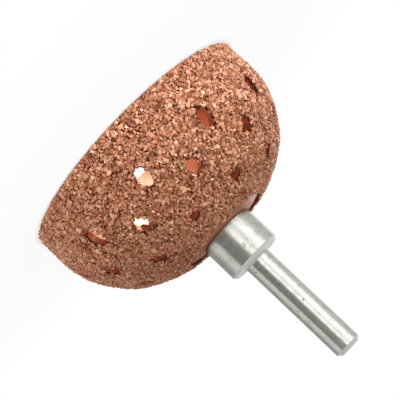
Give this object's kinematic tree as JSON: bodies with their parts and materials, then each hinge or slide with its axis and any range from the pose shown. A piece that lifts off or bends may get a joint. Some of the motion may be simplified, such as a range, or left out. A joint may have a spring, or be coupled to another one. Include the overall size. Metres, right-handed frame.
{
  "type": "tire buffing cup",
  "caption": "Bowl-shaped buffing cup: a punched steel bowl brazed with coarse carbide grit, bolted to a collared round shank for a drill or die grinder.",
  "frame": {"origin": "centre of the cup's open rim, in the plane of the rim", "axes": "+Z along the axis of rotation, from the open rim towards the end of the shank"},
  "size_m": [0.056, 0.056, 0.0603],
  "materials": {
    "coppered_steel": "smooth copper film left by the brazing",
    "brazed_grit": "coarse carbide grains in copper braze",
    "turned_steel": "fine turned",
    "plated_steel": "dull zinc plate",
    "spring_steel": "dull plate"
  },
  "bodies": {
    "root": {"cup_shell": "coppered_steel", "grit_coat": "brazed_grit", "arbor": "turned_steel", "plain_washer": "plated_steel", "lock_washer": "spring_steel", "hex_nut": "plated_steel"}
  },
  "joints": []
}
